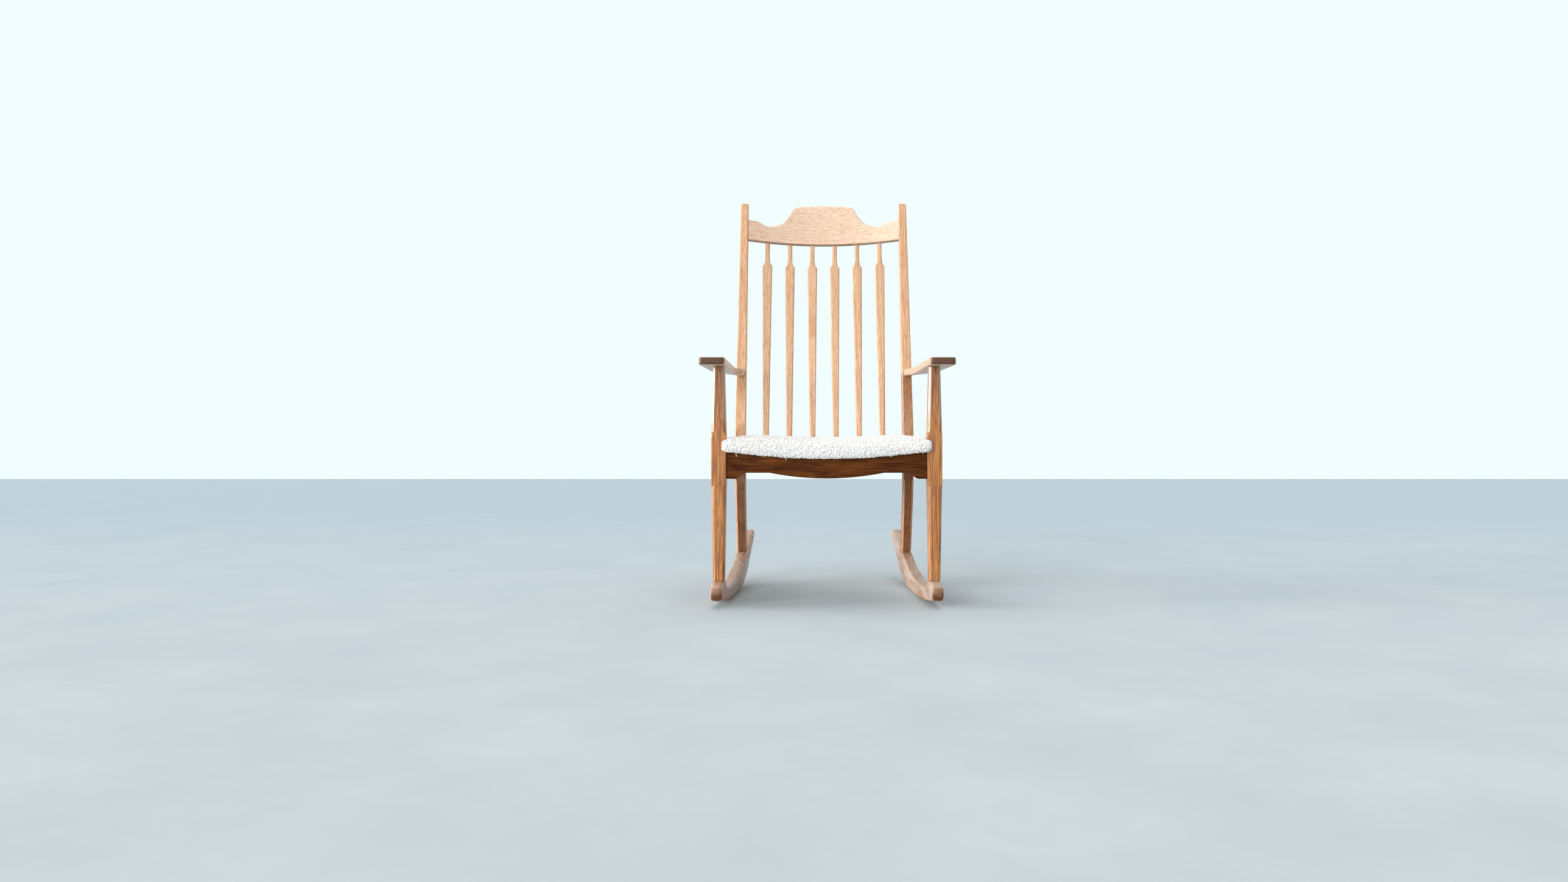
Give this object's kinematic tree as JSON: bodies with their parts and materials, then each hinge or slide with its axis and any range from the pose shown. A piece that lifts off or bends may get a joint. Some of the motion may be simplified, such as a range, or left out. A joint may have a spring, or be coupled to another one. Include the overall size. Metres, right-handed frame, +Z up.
{
  "type": "rocking chair",
  "caption": "High-backed oak rocking chair with flat back spindles, a bowed crest rail, flat arms, curved rockers and a padded seat in white looped wool.",
  "frame": {"origin": "on the floor, under the middle of the bounding box", "axes": "+Z up, -Y to the front of the chair, +X to the right as seen from the front"},
  "size_m": [0.5946, 0.6813, 1.0614],
  "materials": {
    "oiled_oak": "satin",
    "worn_oak": "matte",
    "light_oak": "satin",
    "boucle_cloth": "matte",
    "seat_foam": "matte",
    "birch_plywood": "matte",
    "beech": "matte",
    "zinc_steel": "satin"
  },
  "bodies": {
    "root": {"crest_rail": "light_oak", "front_left_corner_block": "beech", "front_left_seat_screw": "zinc_steel", "front_right_corner_block": "beech", "front_right_seat_screw": "zinc_steel", "front_seat_rail": "oiled_oak", "left_arm": "oiled_oak", "left_arm_dowel": "beech", "left_front_leg": "oiled_oak", "left_rear_post": "oiled_oak", "left_rocker": "worn_oak", "left_side_rail": "oiled_oak", "rear_left_corner_block": "beech", "rear_left_seat_screw": "zinc_steel", "rear_right_corner_block": "beech", "rear_right_seat_screw": "zinc_steel", "rear_seat_rail": "oiled_oak", "right_arm": "oiled_oak", "right_arm_dowel": "beech", "right_front_leg": "oiled_oak", "right_rear_post": "oiled_oak", "right_rocker": "worn_oak", "right_side_rail": "oiled_oak", "seat_board": "birch_plywood", "seat_cover": "boucle_cloth", "seat_foam": "seat_foam", "spindle_1": "light_oak", "spindle_2": "light_oak", "spindle_3": "light_oak", "spindle_4": "light_oak", "spindle_5": "light_oak", "spindle_6": "light_oak"}
  },
  "joints": []
}
